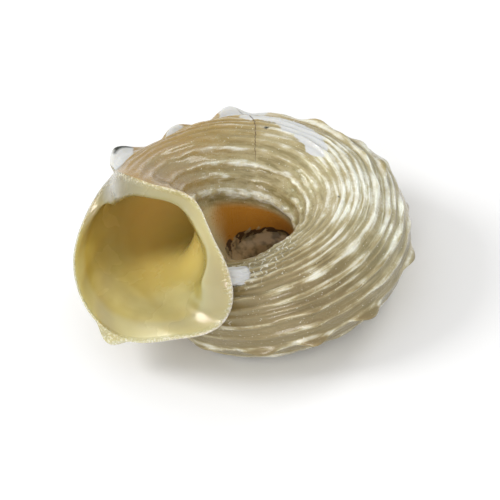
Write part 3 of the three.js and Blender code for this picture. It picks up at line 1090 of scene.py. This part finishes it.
# How much of each colour shows at these growth lines and sides
def colourShares(line, side, lump):
    oval = {name: ovalShare(line, side, *spot) for name, spot in zones["ovals"].items()}
    along = {name: smoothStep(*span, line) for name, span in zones["lines"].items()}
    around = {}
    for name, (start, full, fade, end) in zones["sides"].items():
        around[name] = smoothStep(start, full, side) * (1 - smoothStep(fade, end, side))
    last = along["last"]
    chalk = np.zeros(len(line))
    for middleLine, middleSide, long, wide, strength in zones["chalkPatches"]:
        chalk = chalk + strength * ovalShare(line, side, middleLine, middleSide, long, wide)
    dark = np.zeros(len(line))
    for spot in zones["darkSpots"]:
        dark = np.maximum(dark, smoothStep(*zones["darkEdge"], ovalShare(line, side, *spot)))
    return {
        "chalk": np.maximum(np.minimum(chalk, 1), zones["callusChalk"] * lump) * last,
        "pitShade": dark * last,
        "golden": along["golden"] * around["golden"] * last,
        "shadeBrown": oval["shadeBrown"] * last,
        "navel": around["navel"] * last,
        "amber": along["amber"],
        "highlightPatch": oval["highlightPatch"],
        "crackled": smoothStep(*zones["crackledEdge"], oval["crackled"]) * last,
        "far": along["far"],
        "stain": oval["stain"],
        "seamShade": smoothStep(*zones["seamSides"], side) * along["seamShade"],
        "older": 1 - last,
        "collar": along["collar"],
        "edge": along["edge"],
        "collarShade": oval["collarShade"],
    }


# Stores the colour shares on the points and gives each face its material
def paintZones(thing, outerMaterial, innerMaterial):
    mesh = thing.data
    line, side = readValues(mesh, "growthLine"), readValues(mesh, "sideAngle")
    for name, value in colourShares(line, side, readValues(mesh, "callus")).items():
        storeValues(mesh, name, np.clip(value, 0, zones["callusChalk"]))
    # The lining takes in the hollow's faces and the rim that closes the lip
    inside = readValues(mesh, "inside") > 0.5
    outside = (readValues(mesh, "made") > wholly) & ~inside
    inLining = []
    for face in mesh.polygons:
        rows = list(face.vertices)
        kept = outside[rows]
        rim = kept.any() and line[rows][kept].min() > zones["rimLine"]
        inLining.append(inside[rows].any() or rim)
    mesh.materials.clear()
    mesh.materials.append(outerMaterial)
    mesh.materials.append(innerMaterial)
    mesh.polygons.foreach_set("material_index", np.array(inLining).astype(np.int32))


print("growing the shell")
polished, lined = polishedNacre(), mouthNacre()
tree = reliefTree()
tubes = []
for number, stretch in enumerate(coil["stretches"]):
    tube = outerTube(f"turn{number}", *stretch)
    addRelief(tube, tree, polished)
    tubes.append(tube)
shell = tubes[0]
shell.name = "shellSurface"
joinSolids(shell, tubes[1:] + [apexObject(), callusObject()], "UNION")
keepLargest(shell)
print("opening the mouth")
mouthLines = np.arange(*hollow["mouthLines"])
throatLines = np.arange(*hollow["throatLines"])
first = hollowTube("mouth", np.concatenate([mouthLines, throatLines[:hollow["cutAfter"]]]))
second = hollowTube("throat", throatLines[hollow["cutAfter"] - hollow["overlap"]:])
for thing in (first, second):
    addRelief(thing, tree, lined)
joinSolids(shell, [first, second], "DIFFERENCE")
keepLargest(shell)
fillValues(shell.data, ["growthLine", "sideAngle", "crest", "callus"])
paintZones(shell, polished, lined)

print("laying it down")
mesh = shell.data
lean = Matrix.Rotation(math.radians(lying["leanLeft"]), 3, "Y")
lean = lean @ Matrix.Rotation(math.radians(lying["leanBack"]), 3, "X")
lean = lean @ Matrix.Rotation(math.radians(lying["turned"]), 3, "Z")
points = np.zeros(len(mesh.vertices) * 3, np.float32)
mesh.vertices.foreach_get("co", points)
points = points.reshape(-1, 3).astype(float) @ np.array(lean).T + np.array(lying["shift"])
points[:, 2] = np.maximum(points[:, 2], lying["wornFlat"])
mesh.vertices.foreach_set("co", (points * metresPerMm).astype(np.float32).ravel())
mesh.update()
mesh.shade_smooth()
mesh.set_sharp_from_angle(angle=math.radians(coil["sharpFrom"]))
triangles = sum(len(face.vertices) - 2 for face in mesh.polygons)
print("triangles", triangles)
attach(shell, "root")
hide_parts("shell")

print("floor, light and camera")
# A pale matt table top, its size in metres
table = {
    "colour": (0.85, 0.85, 0.85, 1),
    "roughness": 0.9,
    "size": 3,
}
floorMaterial = newMaterial("paintedBoard")
floorAdd = partial(addNode, floorMaterial.node_tree)
board = {"Base Color": table["colour"], "Roughness": table["roughness"]}
floorAdd("ShaderNodeOutputMaterial", {"Surface": floorAdd("ShaderNodeBsdfPrincipled", board)})
bpy.ops.mesh.primitive_plane_add(size=table["size"])
floor = bpy.context.object
floor.name = "floor"
floor.data.materials.append(floorMaterial)

light = {
    "world": 0.75,
    "aim": (0, 0, 0.012),
    "lamps": [
        # name, place in metres, size, watts
        ("softboxLeft", (-0.45, 0.12, 0.38), 0.3, 2.2),
        ("softboxRight", (0.35, 0.30, 0.30), 0.2, 0.6),
        ("fillFront", (-0.1, -0.55, 0.24), 0.25, 1.2),
    ],
}
world = bpy.data.worlds.new("studio")
world.use_nodes = True
background = world.node_tree.nodes["Background"]
background.inputs["Color"].default_value = (1, 1, 1, 1)
background.inputs["Strength"].default_value = light["world"]
bpy.context.scene.world = world
for name, at, size, watts in light["lamps"]:
    lamp = bpy.data.lights.new(name, "AREA")
    lamp.shape = "DISK"
    lamp.size = size
    lamp.energy = watts
    lampObject = newObject(name, lamp)
    lampObject.location = at
    towards = Vector(light["aim"]) - Vector(at)
    lampObject.rotation_euler = towards.to_track_quat("-Z", "Y").to_euler()
bpy.context.scene.view_settings.view_transform = "Standard"

# The photograph's viewpoint: about 43 degrees up, the picture turned a little
view = {
    "place": (0.0042448, -0.2435593, 0.2221552),
    "right": (0.9834899, -0.1244050, -0.1314192),
    "up": (0.1809608, 0.6725008, 0.7176321),
    "lens": 142.56,
    "shift": (-0.0637, 0.0998),
    "sensor": 36,
    "clip": (0.01, 10),
}
camera = bpy.data.cameras.new("camera")
camera.lens = view["lens"]
camera.sensor_width = view["sensor"]
camera.shift_x, camera.shift_y = view["shift"]
camera.clip_start, camera.clip_end = view["clip"]
cameraObject = newObject("camera", camera)
right, up = Vector(view["right"]), Vector(view["up"])
back = right.cross(up)
turn = Matrix((right, up, back)).transposed().to_4x4()
cameraObject.matrix_world = Matrix.Translation(Vector(view["place"])) @ turn
bpy.context.scene.camera = cameraObject
